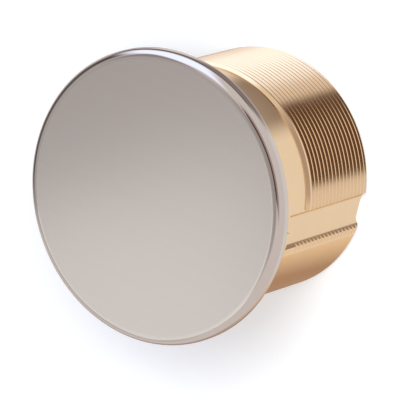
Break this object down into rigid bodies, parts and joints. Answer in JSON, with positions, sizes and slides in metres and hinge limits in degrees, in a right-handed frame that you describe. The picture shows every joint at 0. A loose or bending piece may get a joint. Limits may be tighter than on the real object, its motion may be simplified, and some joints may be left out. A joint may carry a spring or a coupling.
{
  "type": "blank mortise cylinder",
  "caption": "Keyless mortise cylinder that fills a lock's cylinder hole: satin plated head, plain neck, threaded brass body and set-screw grooves.",
  "frame": {"origin": "centre of the flat rear end, which is the bottom of the part as it stands", "axes": "+Z along the cylinder's axis from the rear end to the face, +X and -X through the two set-screw grooves"},
  "size_m": [0.035, 0.035, 0.0245],
  "materials": {
    "turned_brass": "turned, bright",
    "satin_plating": "satin, straight brushed"
  },
  "bodies": {
    "root": {"blank_cylinder": "turned_brass"}
  },
  "joints": []
}
